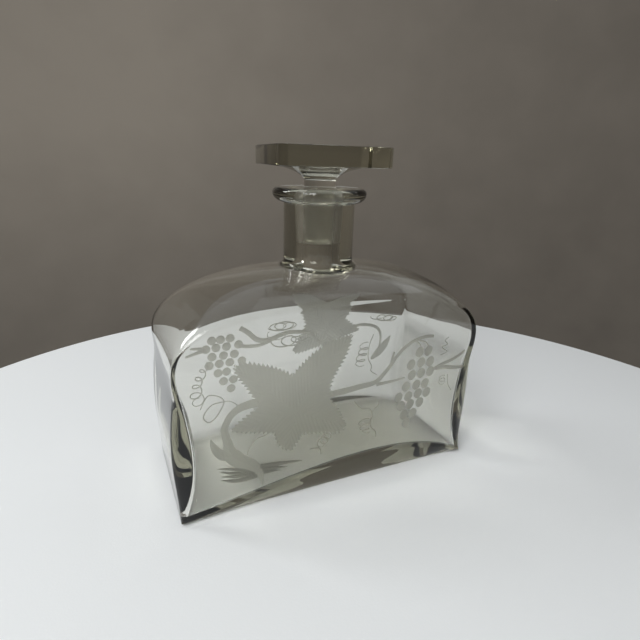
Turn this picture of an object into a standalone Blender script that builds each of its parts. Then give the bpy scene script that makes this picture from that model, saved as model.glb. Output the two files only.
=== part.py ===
"""Wine decanter in clear glass: a flat-faced bottle and a loose, cut stopper.

Units are metres and +Z is up.  The origin is on the table under the middle of the neck.
X runs along the wide face, and the engraved face looks along -Y.
Run it with Blender, in the background or from the text editor.
"""

import math
from collections import namedtuple

import bmesh
import bpy

# Bottle body, outside
FACE_WIDTH = 0.178         # between the two lower points of the flat face
BODY_DEPTH = 0.076         # front face to back face
SIDE_HEIGHT = 0.080        # where the sides turn over into the shoulder
FACE_HEIGHT = 0.109        # top of the flat face
SHOULDER_HEIGHT = 0.1245   # crest of the domed shoulder
CORNER_LIFT = 0.001        # lower points of the face above the table
FACE_ARCH = 0.0122         # rise of the face's lower edge at its middle
ARCH_SLANT = 0.0075        # how much fuller that rise is on the right than on the left
FACE_PINCH = 0.0055        # how far the face's side edges bow inwards
SIDE_SWELL = 0.002         # how far the sides swell past the face's points
EDGE_DEPTH = 0.0045        # depth in which the swollen edges fall back from the face
SOFT_HEIGHT = 0.061        # height from which the crisp edges soften into the shoulder
FACE_SQUARENESS = 2.2      # power of the face's upper corners, 2 is an ellipse
SHOULDER_SQUARENESS = 2.5  # power of the shoulder's outline
FOOT_WIDTH = 0.142         # width that stands flat on the table

# Bottle body, inside
WALL = 0.003               # glass on the faces and the shoulder
EDGE_WALL = 0.002          # step in from the face's bowed edges to those of the hollow

# Neck and lip
NECK_RADIUS = 0.0194
NECK_LENGTH = 0.033        # shoulder crest to the underside of the lip
NECK_FILLET = 0.0024       # blend of the neck into the shoulder
BORE_FLARE = 0.007         # rounding where the hollow runs up into the bore
LIP_RADIUS = 0.0256
LIP_HEIGHT = 0.0077
LIP_EDGE = 0.003           # rounding of the lip's upper edge
MOUTH_EDGE = 0.001         # rounding of the mouth

# Stopper
STEM_RADIUS = 0.0087
STEM_LENGTH = 0.0033       # straight stem above the lip
PLUG_LENGTH = 0.029        # ground plug below the top of the lip
PLUG_TAPER = 0.035         # loss of radius per length of plug
PLUG_EDGE = 0.0015         # rounding of the plug's end
PLUG_CLEARANCE = 0.0003    # between the ground plug and the ground bore
FLARE_HEIGHT = 0.0077      # bell between the stem and the head
FLARE_RADIUS = 0.0249
FLARE_POWER = 2.3          # how suddenly the bell opens, 1 is a cone
HEAD_WIDTH = 0.0592
HEAD_DEPTH = 0.0592
HEAD_CORNER = 0.0035       # length cut off each side at the corners
HEAD_HEIGHT = 0.010
HEAD_BEVEL = 0.0006        # polished edge of the head
HEAD_TURN = math.radians(-5.5)

# How finely the surfaces are divided
BOTTOM_STEPS = 12
SIDE_STEPS = 8
CORNER_STEPS = 7
NECK_SIDE_STEPS = 10       # the neck has four times as many sides
EDGE_STEPS = 4
SHELF_STEPS = 2
ARC_STEPS = 5
FOOT_SIDES = 40

LIP_BOTTOM = SHOULDER_HEIGHT + NECK_LENGTH
LIP_TOP = LIP_BOTTOM + LIP_HEIGHT
BORE_RADIUS = STEM_RADIUS + PLUG_CLEARANCE
BORE_END_RADIUS = BORE_RADIUS - PLUG_TAPER * PLUG_LENGTH

# One skin of the body: the outer surface or the hollow inside it.
# The outer one swells between the faces; the hollow runs straight from face to face,
# which leaves the thick base and sides.
Skin = namedtuple("Skin", "half_width half_depth corner arch pinch side_top face_top crest "
                          "tube_radius tube_fillet swollen")

OUTER = Skin(
    half_width=FACE_WIDTH / 2, half_depth=BODY_DEPTH / 2,
    corner=CORNER_LIFT, arch=FACE_ARCH, pinch=FACE_PINCH,
    side_top=SIDE_HEIGHT, face_top=FACE_HEIGHT, crest=SHOULDER_HEIGHT,
    tube_radius=NECK_RADIUS, tube_fillet=NECK_FILLET, swollen=True)

INNER = Skin(
    half_width=FACE_WIDTH / 2 - EDGE_WALL, half_depth=BODY_DEPTH / 2 - WALL,
    corner=CORNER_LIFT + EDGE_WALL, arch=FACE_ARCH, pinch=FACE_PINCH,
    side_top=SIDE_HEIGHT, face_top=FACE_HEIGHT, crest=SHOULDER_HEIGHT - WALL,
    tube_radius=BORE_END_RADIUS, tube_fillet=BORE_FLARE, swollen=False)


def steps(start, end, count):
    """Evenly spaced values from start up to, but without, end."""
    return [start + (end - start) * i / count for i in range(count)]


def pinch_curve(u):
    """Bow of the face's side edge from its lower point (0) to its top (1), 1 at the deepest."""
    return u * (1 - u) ** 1.5 / (0.4 * 0.6 ** 1.5)


def swell_curve(u):
    """Swell of the side between its two ends, 1 at the middle."""
    return (1 - math.cos(2 * math.pi * u)) / 2


def arch_height(x, skin, top, squareness):
    """Height of the face or shoulder outline above the sides, at x."""
    share = min(1.0, abs(x) / skin.half_width)
    rise = (1 - share ** squareness) ** (1 / squareness)
    return skin.side_top + (top - skin.side_top) * rise


def smooth_step(value):
    value = min(1.0, max(0.0, value))
    return value * value * (3 - 2 * value)


def block_size(skin):
    """Half width and half depth of the patch of shoulder that carries the neck."""
    ring = skin.tube_radius + skin.tube_fillet
    return ring * 1.4, (ring + skin.half_depth - EDGE_DEPTH) / 2


def outline_points(skin):
    """Points round the body: (face x, face z, middle x, middle z, softness of the edge)."""
    points = []
    half = skin.half_width
    for t in steps(-1, 1, BOTTOM_STEPS):
        lift = max(0.0, (half * abs(t) - FOOT_WIDTH / 2) / (half - FOOT_WIDTH / 2)) ** 2
        points.append((half * t, skin.corner + (skin.arch + ARCH_SLANT * t) * (1 - t * t),
                       half * t, skin.corner * lift, 0.0))
    side = []
    for u in steps(0, 1, SIDE_STEPS):
        z = skin.corner + (skin.side_top - skin.corner) * u
        side.append((half - skin.pinch * pinch_curve(u), z,
                     half + SIDE_SWELL * swell_curve(u), z,
                     smooth_step((z - SOFT_HEIGHT) / (skin.side_top - SOFT_HEIGHT))))
    points += side
    block = block_size(skin)[0]
    turn = math.asin(block / half)
    top_x = [half * math.sin(angle) for angle in steps(math.pi / 2, turn, CORNER_STEPS)]
    top_x += steps(block, -block, NECK_SIDE_STEPS)
    top_x += [-x for x in reversed(top_x[:CORNER_STEPS])]
    top_x.insert(CORNER_STEPS + NECK_SIDE_STEPS, -block)
    for x in top_x:
        face_z = arch_height(x, skin, skin.face_top, FACE_SQUARENESS)
        middle_z = arch_height(x, skin, skin.crest, SHOULDER_SQUARENESS)
        points.append((x, face_z, x, middle_z, 1.0))
    points += [(-fx, z, -mx, mz, soft) for fx, z, mx, mz, soft in reversed(side[1:])]
    return points


def edge_share(depth, skin, soft):
    """How far the surface has gone from the face's edge to its middle line, at a depth from the face."""
    near = min(1.0, depth / EDGE_DEPTH)
    crisp = 1 - (1 - near) ** 2 if skin.swollen else 0.0
    reach = 1 - depth / skin.half_depth
    round_over = math.sqrt(max(0.0, 1 - reach * reach))
    return crisp + (round_over - crisp) * soft


def stations(skin):
    """Distances along Y of the loops, from the front face to the back face."""
    block = block_size(skin)[1]
    start = math.acos(1 - EDGE_DEPTH / skin.half_depth)
    end = math.acos(block / skin.half_depth)
    angles = steps(0, start, EDGE_STEPS) + steps(start, end, SHELF_STEPS)
    front = [-skin.half_depth * math.cos(angle) for angle in angles]
    middle = steps(-block, block, NECK_SIDE_STEPS) + [block]
    return front + middle + [-y for y in reversed(front)]


def shoulder_height(x, y, skin):
    """Height of the domed shoulder over a point of its plan, close to the neck."""
    face_z = arch_height(x, skin, skin.face_top, FACE_SQUARENESS)
    middle_z = arch_height(x, skin, skin.crest, SHOULDER_SQUARENESS)
    share = math.sqrt(max(0.0, 1 - (y / skin.half_depth) ** 2))
    return face_z + (middle_z - face_z) * share


def bridge(bm, loop, ring):
    """Faces between two closed loops of vertices of the same length."""
    for i, corner in enumerate(loop):
        after = (i + 1) % len(loop)
        bm.faces.new((corner, loop[after], ring[after], ring[i]))


def body_skin(bm, skin):
    """Adds one skin of the body and returns its open ring, where the neck or the bore begins."""
    outline = outline_points(skin)
    depths = stations(skin)
    loops = []
    for y in depths:
        depth = skin.half_depth - abs(y)
        loop = []
        for face_x, face_z, middle_x, middle_z, soft in outline:
            share = edge_share(depth, skin, soft)
            loop.append(bm.verts.new((face_x + (middle_x - face_x) * share, y,
                                      face_z + (middle_z - face_z) * share)))
        loops.append(loop)
    first = BOTTOM_STEPS + SIDE_STEPS + CORNER_STEPS
    last = first + NECK_SIDE_STEPS
    near = EDGE_STEPS + SHELF_STEPS
    far = near + NECK_SIDE_STEPS
    for row in range(len(loops) - 1):
        for i in range(len(outline)):
            if near <= row < far and first <= i < last:
                continue
            after = (i + 1) % len(outline)
            bm.faces.new((loops[row][i], loops[row][after], loops[row + 1][after], loops[row + 1][i]))
    bm.faces.new(loops[0])
    bm.faces.new(loops[-1])
    rim = [loops[near][i] for i in range(last, first, -1)]
    rim += [loops[row][first] for row in range(near, far)]
    rim += [loops[far][i] for i in range(first, last)]
    rim += [loops[row][last] for row in range(far, near, -1)]
    for vert in bm.verts:
        if not vert.link_faces:
            bm.verts.remove(vert)
    return neck_blend(bm, skin, rim)


def neck_blend(bm, skin, rim):
    """Runs the shoulder from the square hole in it up to a round tube."""
    ring_radius = skin.tube_radius + skin.tube_fillet
    begin = math.atan2(rim[0].co.y, rim[0].co.x)
    round_points = []
    for i in range(len(rim)):
        angle = begin + 2 * math.pi * i / len(rim)
        round_points.append((math.cos(angle), math.sin(angle)))
    loop = rim
    for share in (1 / 3, 2 / 3, 1.0):
        ring = []
        for vert, (cosine, sine) in zip(rim, round_points):
            x = vert.co.x + (ring_radius * cosine - vert.co.x) * share
            y = vert.co.y + (ring_radius * sine - vert.co.y) * share
            ring.append(bm.verts.new((x, y, shoulder_height(x, y, skin))))
        bridge(bm, loop, ring)
        loop = ring
    for i in range(1, ARC_STEPS + 1):
        turn = math.pi / 2 * i / ARC_STEPS
        radius = ring_radius - skin.tube_fillet * math.sin(turn)
        rise = skin.tube_fillet * (1 - math.cos(turn))
        ring = []
        for cosine, sine in round_points:
            x = radius * cosine
            y = radius * sine
            ring.append(bm.verts.new((x, y, shoulder_height(x, y, skin) + rise)))
        bridge(bm, loop, ring)
        loop = ring
    return loop


def arc(center_r, center_z, radius_r, radius_z, start, end, count):
    """Points (r, z) of an elliptic arc, angles in degrees from the +r axis."""
    points = []
    for i in range(count + 1):
        angle = math.radians(start + (end - start) * i / count)
        points.append((center_r + radius_r * math.cos(angle), center_z + radius_z * math.sin(angle)))
    return points


def mouth_profile():
    """Neck, lip and bore as (r, z), from the outside of the neck over the lip into the bore."""
    under = LIP_HEIGHT - LIP_EDGE
    profile = [(NECK_RADIUS, LIP_BOTTOM - LIP_EDGE)]
    profile += arc(NECK_RADIUS, LIP_BOTTOM + under, LIP_RADIUS - NECK_RADIUS, under,
                   -90, 0, ARC_STEPS)
    profile += arc(LIP_RADIUS - LIP_EDGE, LIP_TOP - LIP_EDGE, LIP_EDGE, LIP_EDGE,
                   0, 90, ARC_STEPS)[1:]
    profile += arc(BORE_RADIUS + MOUTH_EDGE, LIP_TOP - MOUTH_EDGE, MOUTH_EDGE, MOUTH_EDGE,
                   90, 180, 2)
    profile.append((BORE_END_RADIUS, LIP_TOP - PLUG_LENGTH))
    return profile


def bottle_mesh():
    """The whole bottle as one closed wall of glass, open at the mouth."""
    bm = bmesh.new()
    neck = body_skin(bm, OUTER)
    directions = [(vert.co.x / NECK_RADIUS, vert.co.y / NECK_RADIUS) for vert in neck]
    loop = neck
    for radius, z in mouth_profile():
        ring = [bm.verts.new((radius * x, radius * y, z)) for x, y in directions]
        bridge(bm, loop, ring)
        loop = ring
    bore = body_skin(bm, INNER)
    bridge(bm, loop, nearest_order(bore, loop))
    bmesh.ops.recalc_face_normals(bm, faces=bm.faces)
    mesh = bpy.data.meshes.new("bottle")
    bm.to_mesh(mesh)
    bm.free()
    return mesh


def nearest_order(ring, loop):
    """The ring's vertices, begun at the one whose direction is nearest the loop's first."""
    aim = math.atan2(loop[0].co.y, loop[0].co.x)

    def distance(i):
        turn = math.atan2(ring[i].co.y, ring[i].co.x) - aim
        return abs(math.remainder(turn, 2 * math.pi))

    first = min(range(len(ring)), key=distance)
    return ring[first:] + ring[:first]


def foot_profile():
    """Bell, stem and plug of the stopper as (r, z) above the lip, top to bottom."""
    overlap = HEAD_HEIGHT / 2
    top = STEM_LENGTH + FLARE_HEIGHT
    profile = [(0.0, top + overlap), (FLARE_RADIUS, top + overlap)]
    for i in range(2 * ARC_STEPS + 1):
        share = 1 - i / (2 * ARC_STEPS)
        radius = STEM_RADIUS + (FLARE_RADIUS - STEM_RADIUS) * share ** FLARE_POWER
        profile.append((radius, STEM_LENGTH + FLARE_HEIGHT * share))
    profile.append((STEM_RADIUS, 0.0))
    end_radius = STEM_RADIUS - PLUG_TAPER * PLUG_LENGTH
    profile += arc(end_radius - PLUG_EDGE, PLUG_EDGE - PLUG_LENGTH, PLUG_EDGE, PLUG_EDGE, 0, -90, 3)
    profile.append((0.0, -PLUG_LENGTH))
    return profile


def foot_mesh():
    """The turned part of the stopper."""
    bm = bmesh.new()
    verts = [bm.verts.new((radius, 0.0, z)) for radius, z in foot_profile()]
    edges = [bm.edges.new(pair) for pair in zip(verts, verts[1:])]
    bmesh.ops.spin(bm, geom=verts + edges, cent=(0, 0, 0), axis=(0, 0, 1),
                   angle=2 * math.pi, steps=FOOT_SIDES, use_duplicate=False)
    bmesh.ops.remove_doubles(bm, verts=bm.verts, dist=1e-6)
    bmesh.ops.recalc_face_normals(bm, faces=bm.faces)
    mesh = bpy.data.meshes.new("stopper_foot")
    bm.to_mesh(mesh)
    bm.free()
    return mesh


def head_mesh():
    """The cut head of the stopper: a slab with four flat sides and four cut corners."""
    bm = bmesh.new()
    half_x = HEAD_WIDTH / 2
    half_y = HEAD_DEPTH / 2
    corners = []
    for sign_x, sign_y in ((1, 1), (-1, 1), (-1, -1), (1, -1)):
        pair = [(sign_x * half_x, sign_y * (half_y - HEAD_CORNER)),
                (sign_x * (half_x - HEAD_CORNER), sign_y * half_y)]
        corners += pair if sign_x == sign_y else reversed(pair)
    base = STEM_LENGTH + FLARE_HEIGHT
    face = bm.faces.new([bm.verts.new((x, y, base)) for x, y in corners])
    raised = bmesh.ops.extrude_face_region(bm, geom=[face])["geom"]
    lifted = [item for item in raised if isinstance(item, bmesh.types.BMVert)]
    bmesh.ops.translate(bm, verts=lifted, vec=(0, 0, HEAD_HEIGHT))
    bmesh.ops.recalc_face_normals(bm, faces=bm.faces)
    bmesh.ops.bevel(bm, geom=bm.edges[:], offset=HEAD_BEVEL, offset_type="OFFSET", segments=1,
                    profile=0.5, affect="EDGES")
    mesh = bpy.data.meshes.new("stopper")
    bm.to_mesh(mesh)
    bm.free()
    return mesh


def glass(name, color, roughness):
    """Clear glass of a slight tint."""
    material = bpy.data.materials.new(name)
    material.use_nodes = True
    shader = material.node_tree.nodes["Principled BSDF"]
    shader.inputs["Base Color"].default_value = (*color, 1.0)
    shader.inputs["Roughness"].default_value = roughness
    shader.inputs["Transmission Weight"].default_value = 1.0
    shader.inputs["IOR"].default_value = 1.52
    return material


def place(mesh, material, crisp_angle):
    """An object of this mesh in the scene, shaded smooth apart from its crisp edges."""
    piece = bpy.data.objects.new(mesh.name, mesh)
    bpy.context.collection.objects.link(piece)
    mesh.materials.append(material)
    mesh.shade_smooth()
    mesh.set_sharp_from_angle(angle=crisp_angle)
    return piece


def build():
    for old in list(bpy.data.objects):
        bpy.data.objects.remove(old)
    bottle_glass = glass("blown_clear_glass", (0.93, 0.94, 0.92), 0.03)
    stopper_glass = glass("cut_clear_glass", (0.92, 0.93, 0.91), 0.02)
    place(bottle_mesh(), bottle_glass, math.radians(30))

    stopper = place(head_mesh(), stopper_glass, math.radians(20))
    foot = place(foot_mesh(), stopper_glass, math.radians(20))
    foot.hide_render = True
    foot.display_type = "WIRE"
    join = stopper.modifiers.new("bell, stem and plug", "BOOLEAN")
    join.operation = "UNION"
    join.object = foot
    for piece in (stopper, foot):
        piece.location = (0.0, 0.0, LIP_TOP)
        piece.rotation_euler = (0.0, 0.0, HEAD_TURN)


build()
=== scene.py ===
"""Wine decanter in clear glass: a blown bottle with a vine engraved in its faces, and a cut stopper.

Units are metres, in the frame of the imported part: +Z is up, X runs along the wide face, and the
engraved front face looks along -Y.  The file is laid out as an add-on and run as a script.
"""

import math
from collections import namedtuple

import bmesh
import bpy
from bpy.props import FloatProperty, FloatVectorProperty, PointerProperty
from mathutils import Matrix, Vector
from mathutils.geometry import delaunay_2d_cdt, intersect_point_tri_2d


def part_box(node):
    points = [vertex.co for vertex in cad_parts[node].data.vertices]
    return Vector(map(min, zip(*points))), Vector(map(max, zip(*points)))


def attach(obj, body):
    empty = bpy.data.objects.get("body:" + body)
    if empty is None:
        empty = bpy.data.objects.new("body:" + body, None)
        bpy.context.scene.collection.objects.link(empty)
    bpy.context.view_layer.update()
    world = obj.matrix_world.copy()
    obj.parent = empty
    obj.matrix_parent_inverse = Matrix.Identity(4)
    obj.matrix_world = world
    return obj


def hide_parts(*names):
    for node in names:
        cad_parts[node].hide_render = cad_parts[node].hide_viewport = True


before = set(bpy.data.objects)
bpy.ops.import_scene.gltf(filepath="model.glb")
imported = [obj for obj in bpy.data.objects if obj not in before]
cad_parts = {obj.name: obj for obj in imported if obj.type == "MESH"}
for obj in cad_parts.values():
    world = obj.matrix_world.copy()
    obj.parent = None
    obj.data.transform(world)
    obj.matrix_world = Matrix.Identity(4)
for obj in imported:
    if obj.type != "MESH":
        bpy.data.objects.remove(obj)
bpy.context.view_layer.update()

bl_info = {
    "name": "Engraved wine decanter",
    "version": (1, 0, 0),
    "blender": (4, 5, 0),
    "location": "3D View > Sidebar > Decanter",
    "description": "Makes a flat-faced glass decanter with an engraved vine and a cut stopper",
    "category": "Add Mesh",
}

MM = 0.001
BOTTLE_LOW, BOTTLE_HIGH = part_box("bottle")
LIP_TOP = BOTTLE_HIGH.z

# Shape of the bottle that a user would leave alone.  It is that of the part's own source, apart from
# the fuller upper corners of the face, and the rounded edges, which the solids leave sharp.
CORNER_LIFT = 0.001         # lower points of the face above the table
FACE_ARCH = 0.0122          # rise of the face's lower edge at its middle
ARCH_SLANT = 0.0075         # how much fuller that rise is on the right than on the left
FACE_PINCH = 0.0055         # how far the face's side edges bow inwards
SIDE_SWELL = 0.002          # how far the sides swell past the face's points
EDGE_DEPTH = 0.0045         # depth in which the swollen edges fall back from the face
SOFT_HEIGHT = 0.061         # height from which the crisp edges soften into the shoulder
FACE_SQUARENESS = 2.8       # power of the face's upper corners, 2 is an ellipse
SHOULDER_SQUARENESS = 2.5   # power of the shoulder's outline
FOOT_WIDTH = 0.142          # width that stands flat on the table
EDGE_RADIUS = 0.0015        # rounding of the face's polished edge
EDGE_WALL = 0.002           # step in from the face's bowed edges to those of the hollow
HOLLOW_RADIUS = 0.003       # rounding of the hollow's edges
NECK_FILLET = 0.0024        # blend of the neck into the shoulder
BORE_FLARE = 0.007          # rounding where the hollow runs up into the bore
LIP_EDGE = 0.003            # rounding of the lip's upper edge
MOUTH_EDGE = 0.001          # rounding of the mouth
PLUG_TAPER = 0.035          # loss of radius per length of plug
PLUG_EDGE = 0.0015          # rounding of the plug's end
PLUG_CLEARANCE = 0.0003     # between the ground plug and the ground bore
FLARE_POWER = 2.3           # how suddenly the stopper's bell opens, 1 is a cone
RIM_SHARE = 0.994           # the flat of the face within its polished edge
NECK_PATCH = 1.4            # half width of the shoulder's patch under the neck, in radii of its ring
PINCH_POWER = 1.5           # the higher, the lower down the face's side edges bow the most

# How finely the glass is divided
BOTTOM_STEPS = 80
SIDE_STEPS = 44
CORNER_STEPS = 30
NECK_SIDE_STEPS = 20        # the neck has four times as many sides
EDGE_STEPS = 12
SHELF_STEPS = 8
BLEND_STEPS = 6
ARC_STEPS = 10
CORNER_REACH = 3            # points on each side of a lower corner that are rounded
SUPPORT = 0.0006            # from the end of an arc to the ring that keeps a straight wall straight
FOOT_SIDES = 96
FLAT_REACH = 1e-5           # from the plane of a face within which it counts as flat
WELD_REACH = 1e-6           # within which the turned foot's points are joined
CUT_ANGLE = math.radians(20)  # up to which the stopper's faces are shaded as one

MATT = "matt"               # attribute of the bottle's faces: how far they are ground
# The deepest cuts get a darker colour: painted shade, as held in deep grooves
DEEP_SHADE = "deep"               # attribute that is 1 on the deepest cuts, which look darker
POLISHED = 0.0
JOINT = 0.5
ENGRAVED = 1.0

# Cuts of the engraver's wheel, in millimetres
STROKE_DEPTH = 0.12
GRAPE_DEPTH = 0.2
BARB_DEPTH = 0.1
FEATHER_DEPTH = 0.4
TOOTH_PITCH = 2.4
TOOTH_REACH = 1.8
TOOTH_LEAN = 0.4            # how far a tooth's tip leans ahead, in teeth
STROKE_STEP = 0.9           # length of the straight pieces of a curved cut
SMALLEST_CUT = 1e-3         # square millimetres below which a triangle is left out
SQUARE = 2.0                # grid in which the cuts are looked up
MERGE_REACH = 1e-4          # within which two corners are one

# How the cuts are drawn
GRAPE_SIDES = 16
BOWL_SHARE = 0.62           # ring inside a grape, as a share of its rim
BOWL_DEPTH = 0.72           # its depth, as a share of the grape's
MIDRIB_SHARE = 0.96         # how far along a lobe's midrib its barbs go
EDGE_SHARE = 0.99           # how far along a lobe's edge its teeth go
TOOTH_SHARE = 0.3           # the longest tooth, as a share of its barb
BARB_LOW = 0.55             # where a barb is deepest, from the midrib to its tip
COIL_STEPS = 14             # straight pieces in one turn of a coil
COIL_PIECE = 9.0            # longer than any of them, so that none is divided again
COIL_END = 0.6              # width at the ends of a coil, as a share of the line's
TENDRIL_END = 0.7           # the same for a tendril

# The grain of the materials
GLASS_IOR = 1.52
WAVE_LENGTH = 28 * MM       # unevenness of blown glass
WAVE_HEIGHT = 0.012 * MM
GRIT_SIZE = 0.6 * MM        # scratches of ground glass
GRIT_DEPTH = 0.03 * MM
WEAVE_SIZE = 1.2 * MM       # threads of the cloth
WEAVE_DEPTH = 0.2 * MM
CLOUD_SIZE = 150 * MM       # clouds of tone on the wall
CLOUD_STRENGTH = 0.25
# Painted shade on the wall: darker to the right and towards the floor, away from the window
WALL_DARKEST = 0.4          # share of the wall's colour that is left away from the light
SHADE_LEFT = 0.1            # where the wall begins to darken to the right
SHADE_RIGHT = 1.5           # where it is darkest
SHADE_SIDE = 0.2            # light that is left there
SHADE_TOP = 0.3             # where the wall begins to darken downwards
SHADE_BOTTOM = -0.5         # where it is darkest
SHADE_LOW = 0.35            # light that is left there
SKY_COLOUR = "e8ebee"

# One skin of the body: the outer surface, which is swollen, or the hollow inside it
Skin = namedtuple("Skin", "half_width half_depth corner arch pinch side_top face_top crest "
                          "tube_radius tube_fillet swollen edge_radius")


def linear(colour):
    """A colour written as sRGB hex, as the linear red, green and blue that Blender works in."""
    parts = [int(colour[i:i + 2], 16) / 255 for i in (0, 2, 4)]
    return tuple(c / 12.92 if c <= 0.04045 else ((c + 0.055) / 1.055) ** 2.4 for c in parts)


def size_setting(name, description, default):
    """A size that a user can set, in metres."""
    return FloatProperty(name=name, description=description, default=default, unit="LENGTH")


def colour_setting(name, description, default):
    """A colour that a user can set, written as sRGB hex."""
    return FloatVectorProperty(name=name, description=description, default=linear(default),
                               subtype="COLOR", min=0.0, max=1.0)


def share_setting(name, description, default):
    """A share from 0 to 1 that a user can set."""
    return FloatProperty(name=name, description=description, default=default,
                         min=0.0, max=1.0, subtype="FACTOR")


class BottleSizes(bpy.types.PropertyGroup):
    """Sizes of the blown bottle."""

    face_width: size_setting("Face width", "Between the two lower points of the flat face", 0.178)
    body_depth: size_setting("Body depth", "Front face to back face", BOTTLE_HIGH.y - BOTTLE_LOW.y)
    side_height: size_setting("Side height", "Where the sides turn over into the shoulder", 0.080)
    face_height: size_setting("Face height", "Top of the flat face", 0.109)
    shoulder_height: size_setting("Shoulder height", "Crest of the domed shoulder", 0.1245)
    wall: size_setting("Wall", "Glass on the faces and the shoulder", 0.003)
    neck_radius: size_setting("Neck radius", "Outside of the neck", 0.0194)
    lip_radius: size_setting("Lip radius", "Outside of the collar", 0.0256)
    lip_height: size_setting("Lip height", "Underside of the collar to its top", 0.0077)


class StopperSizes(bpy.types.PropertyGroup):
    """Sizes of the cut stopper."""

    head_width: size_setting("Head width", "Across the flats of the square head", 0.0592)
    head_height: size_setting("Head height", "Thickness of the square head", 0.010)
    head_corner: size_setting("Cut corner", "Length cut off each side at the corners", 0.0035)
    head_bevel: size_setting("Polished edge", "Width of the polished edge of the head", 0.0006)
    head_turn: FloatProperty(
        name="Turn", description="How far the loose stopper stands turned in the neck",
        default=math.radians(-5.5), subtype="ANGLE")
    stem_radius: size_setting("Stem radius", "Stem, and the upper end of the plug", 0.0087)
    stem_length: size_setting("Stem length", "Straight stem above the lip", 0.0033)
    plug_length: size_setting("Plug length", "Ground plug below the top of the lip", 0.029)
    flare_height: size_setting("Bell height", "Bell between the stem and the head", 0.0077)
    flare_radius: size_setting("Bell radius", "Bell where it meets the head", 0.0249)


class GlassLook(bpy.types.PropertyGroup):
    """Colour and finish of the glass."""

    tint: colour_setting("Tint", "Colour that light keeps on its way through thick glass", "bdbba1")
    tint_density: FloatProperty(
        name="Tint density", description="How strongly a metre of glass takes up light",
        default=26.0, min=0.0)
    polished_colour: colour_setting(
        "Polished colour", "Colour that the clear glass surface lets through", "fafaf8")
    # Painted shade: the deepest cuts are given this darker colour
    deep_shade_colour: colour_setting("Deep colour", "Colour of the deepest cuts", "8e8e84")
    engraved_colour: colour_setting("Engraved colour", "Colour of the engraved cuts", "bebeb3")
    engraved_roughness: share_setting(
        "Engraved roughness", "Matt finish of the engraved cuts", 0.55)
    engraved_clearness: share_setting(
        "Engraved clearness", "Share of light that passes the engraved cuts", 0.8)
    joint_roughness: share_setting("Joint roughness", "Matt finish of the ground plug", 0.25)


class StageLook(bpy.types.PropertyGroup):
    """Table, backdrop and light."""

    table_colour: colour_setting("Table", "Colour of the table cloth", "e9eced")
    wall_colour: colour_setting("Wall", "Colour of the backdrop", "a69e93")
    window_power: FloatProperty(
        name="Window light", description="Power of the large window on the left",
        default=17.0, unit="POWER")
    room_light: FloatProperty(
        name="Room light", description="Brightness of the open top of the room",
        default=0.62, min=0.0)


class DecanterSettings(bpy.types.PropertyGroup):
    """All that a user can set."""

    bottle: PointerProperty(type=BottleSizes)
    stopper: PointerProperty(type=StopperSizes)
    glass: PointerProperty(type=GlassLook)
    stage: PointerProperty(type=StageLook)


# Materials


def add_node(tree, kind, inputs=None, **settings):
    """Adds a node with its settings, and sets its inputs or links them to other nodes' outputs."""
    node = tree.nodes.new(kind)
    for name, value in settings.items():
        setattr(node, name, value)
    for name, value in (inputs or {}).items():
        if isinstance(value, bpy.types.NodeSocket):
            tree.links.new(value, node.inputs[name])
        else:
            node.inputs[name].default_value = value
    return node


def new_material(name):
    """An empty node material and its tree."""
    material = bpy.data.materials.new(name)
    material.use_nodes = True
    material.node_tree.nodes.clear()
    return material, material.node_tree


def tinted_depth(tree, shader, look):
    """Joins a glass surface to the output, with the tint that light takes on inside."""
    body = add_node(tree, "ShaderNodeVolumeAbsorption",
                    {"Color": (*look.tint, 1.0), "Density": look.tint_density})
    add_node(tree, "ShaderNodeOutputMaterial",
             {"Surface": shader.outputs["BSDF"], "Volume": body.outputs["Volume"]})


def blown_glass(look):
    """Fire-polished glass: clear, hard gloss, slightly uneven, with a grey-olive tint in its depth.

    The unevenness, in waves of about 28 mm, lets straight lines behind the glass waver a little.
    Where a wheel has ground it, which the attribute "matt" tells, it scatters what lies behind it
    to a pale grey, and the deepest cuts get a darker grey of painted shade.  The grit's scratches
    are about 0.2 mm apart and drawn at 0.6 mm to show at all.
    """
    material, tree = new_material("blown_glass")
    place = add_node(tree, "ShaderNodeTexCoord")
    matt = add_node(tree, "ShaderNodeAttribute", attribute_name=MATT).outputs["Fac"]
    waves = add_node(tree, "ShaderNodeTexNoise",
                     {"Vector": place.outputs["Object"], "Scale": 1 / WAVE_LENGTH,
                      "Detail": 1.0, "Roughness": 0.4})
    uneven = add_node(tree, "ShaderNodeBump",
                      {"Height": waves.outputs["Fac"], "Strength": 1.0, "Distance": WAVE_HEIGHT})
    grit = add_node(tree, "ShaderNodeTexNoise",
                    {"Vector": place.outputs["Object"], "Scale": 1 / GRIT_SIZE,
                     "Detail": 2.0, "Roughness": 0.6})
    scratched = add_node(tree, "ShaderNodeBump",
                         {"Height": grit.outputs["Fac"], "Strength": matt, "Distance": GRIT_DEPTH,
                          "Normal": uneven.outputs["Normal"]})
    ground = add_node(tree, "ShaderNodeMix",
                      {0: matt, 6: (*look.polished_colour, 1.0), 7: (*look.engraved_colour, 1.0)},
                      data_type="RGBA")
    # Painted shade in the deepest cuts
    deep = add_node(tree, "ShaderNodeAttribute", attribute_name=DEEP_SHADE)
    colour = add_node(tree, "ShaderNodeMix",
                      {0: deep.outputs["Fac"], 6: ground.outputs[2], 7: (*look.deep_shade_colour, 1.0)},
                      data_type="RGBA")
    roughness = add_node(tree, "ShaderNodeMapRange",
                         {"Value": matt, "To Min": 0.0, "To Max": look.engraved_roughness})
    clearness = add_node(tree, "ShaderNodeMapRange",
                         {"Value": matt, "To Min": 1.0, "To Max": look.engraved_clearness})
    shader = add_node(tree, "ShaderNodeBsdfPrincipled",
                      {"Base Color": colour.outputs[2], "Roughness": roughness.outputs["Result"],
                       "IOR": GLASS_IOR, "Transmission Weight": clearness.outputs["Result"],
                       "Normal": scratched.outputs["Normal"]})
    tinted_depth(tree, shader, look)
    return material


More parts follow.
